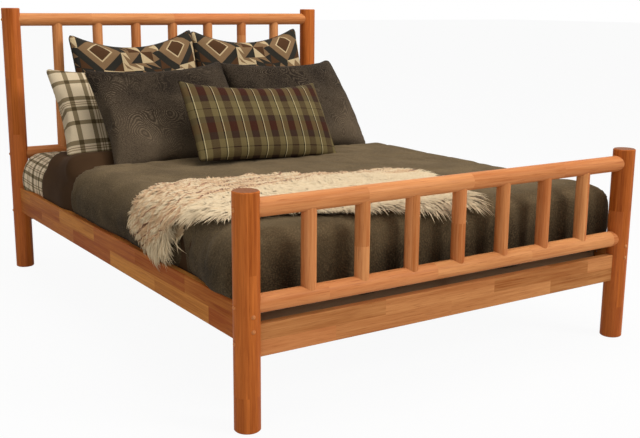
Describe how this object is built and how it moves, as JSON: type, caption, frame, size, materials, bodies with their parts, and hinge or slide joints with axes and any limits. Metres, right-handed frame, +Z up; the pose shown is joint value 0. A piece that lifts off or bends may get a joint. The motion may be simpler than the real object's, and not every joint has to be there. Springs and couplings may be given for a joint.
{
  "type": "rustic log bed",
  "caption": "Queen-size bed of round log posts, rails and spindles with plank sides, slatted base, mattress, comforter, fur throw and pillows.",
  "frame": {"origin": "on the floor, at the middle of the bed's bounding box", "axes": "+X across the bed to the right seen from the foot, +Y from the foot to the head, +Z up"},
  "size_m": [1.6697, 2.2436, 1.192],
  "materials": {
    "post_wood": "satin lacquer",
    "rail_wood": "satin lacquer",
    "spindle_wood": "satin lacquer",
    "plank_wood": "satin lacquer, laminated staves",
    "button_wood": "satin lacquer",
    "slat_wood": "bare sanded",
    "dowel_wood": "bare fluted",
    "zinc_steel": "zinc plated",
    "black_plastic": "moulded",
    "ticking": "woven ticking",
    "cream_plaid": "brushed cotton, woven plaid",
    "blanket_cloth": "smooth microfibre",
    "comforter_cloth": "embossed short pile",
    "fur": "long-pile faux fur",
    "geometric_cloth": "jacquard weave",
    "plush": "embossed short pile",
    "olive_plaid": "woven plaid"
  },
  "bodies": {
    "root": {"head_post_left": "post_wood", "head_post_right": "post_wood", "headboard_top_rail": "rail_wood", "headboard_low_rail": "rail_wood", "headboard_spindle_1": "spindle_wood", "headboard_spindle_2": "spindle_wood", "headboard_spindle_3": "spindle_wood", "headboard_spindle_4": "spindle_wood", "headboard_spindle_5": "spindle_wood", "headboard_spindle_6": "spindle_wood", "headboard_spindle_7": "spindle_wood", "head_plank": "plank_wood", "foot_post_left": "post_wood", "foot_post_right": "post_wood", "footboard_top_rail": "rail_wood", "footboard_low_rail": "rail_wood", "footboard_spindle_1": "spindle_wood", "footboard_spindle_2": "spindle_wood", "footboard_spindle_3": "spindle_wood", "footboard_spindle_4": "spindle_wood", "footboard_spindle_5": "spindle_wood", "footboard_spindle_6": "spindle_wood", "footboard_spindle_7": "spindle_wood", "foot_plank": "plank_wood", "side_plank_left": "plank_wood", "ledger_left": "slat_wood", "side_plank_right": "plank_wood", "ledger_right": "slat_wood", "slats": "slat_wood", "centre_beam": "slat_wood", "beam_hangers": "zinc_steel", "centre_leg_foot": "slat_wood", "leg_leveler_foot": "black_plastic", "centre_leg_head": "slat_wood", "leg_leveler_head": "black_plastic", "frame_bolts": "zinc_steel", "barrel_nuts": "zinc_steel", "hanger_screws": "zinc_steel", "wood_screws": "zinc_steel", "bolt_buttons": "button_wood", "plank_dowels": "dowel_wood", "mattress": "ticking", "fitted_sheet": "cream_plaid", "blanket": "blanket_cloth", "comforter": "comforter_cloth", "fur_throw": "fur", "patterned_pillow_left": "geometric_cloth", "plaid_sham_left": "cream_plaid", "plush_pillow_left": "plush", "patterned_pillow_right": "geometric_cloth", "plaid_sham_right": "cream_plaid", "plush_pillow_right": "plush", "lumbar_pillow": "olive_plaid"}
  },
  "joints": []
}
